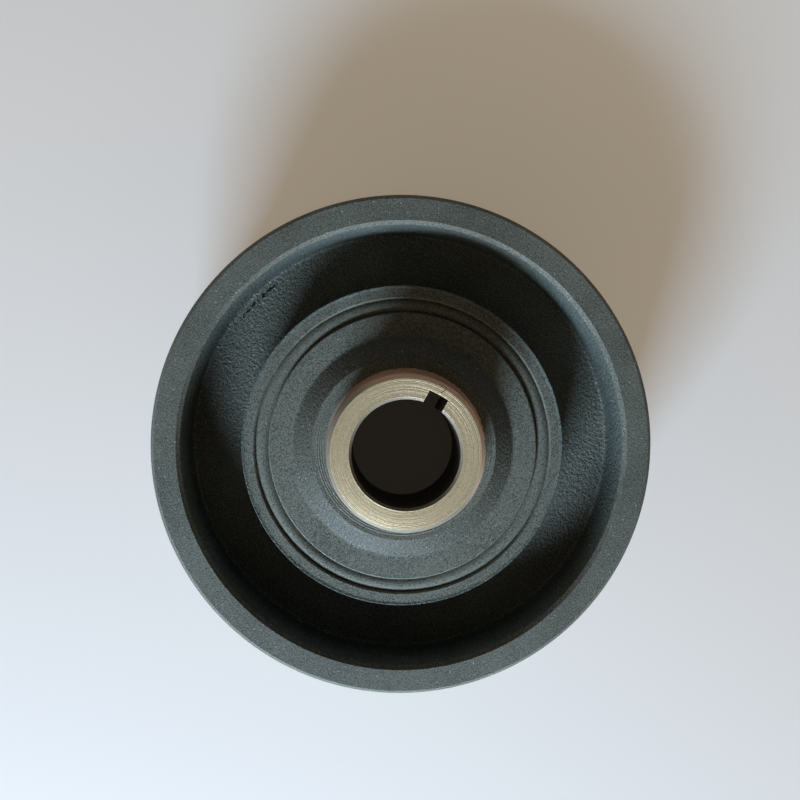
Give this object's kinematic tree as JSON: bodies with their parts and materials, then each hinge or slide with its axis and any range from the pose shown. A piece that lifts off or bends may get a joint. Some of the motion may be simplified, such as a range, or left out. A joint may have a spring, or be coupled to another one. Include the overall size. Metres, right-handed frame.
{
  "type": "harmonic balancer",
  "caption": "Crankshaft harmonic balancer: a keyed hub with a bare journal nose, an elastomer ring around it and a grooved pulley ring with a deep rear pocket.",
  "frame": {"origin": "on the shaft axis, in the front plane of the pulley's rim, on which the part rests", "axes": "+Z along the shaft axis to the rear, towards the hub's nose; +Y through the keyway"},
  "size_m": [0.127, 0.127, 0.0466],
  "materials": {
    "painted_hub": "matte black paint over cast iron, with the nose turned bare",
    "elastomer": "matte, painted over",
    "painted_pulley": "matte black paint over cast iron"
  },
  "bodies": {
    "root": {"hub": "painted_hub", "elastomer_ring": "elastomer", "pulley": "painted_pulley"}
  },
  "joints": []
}
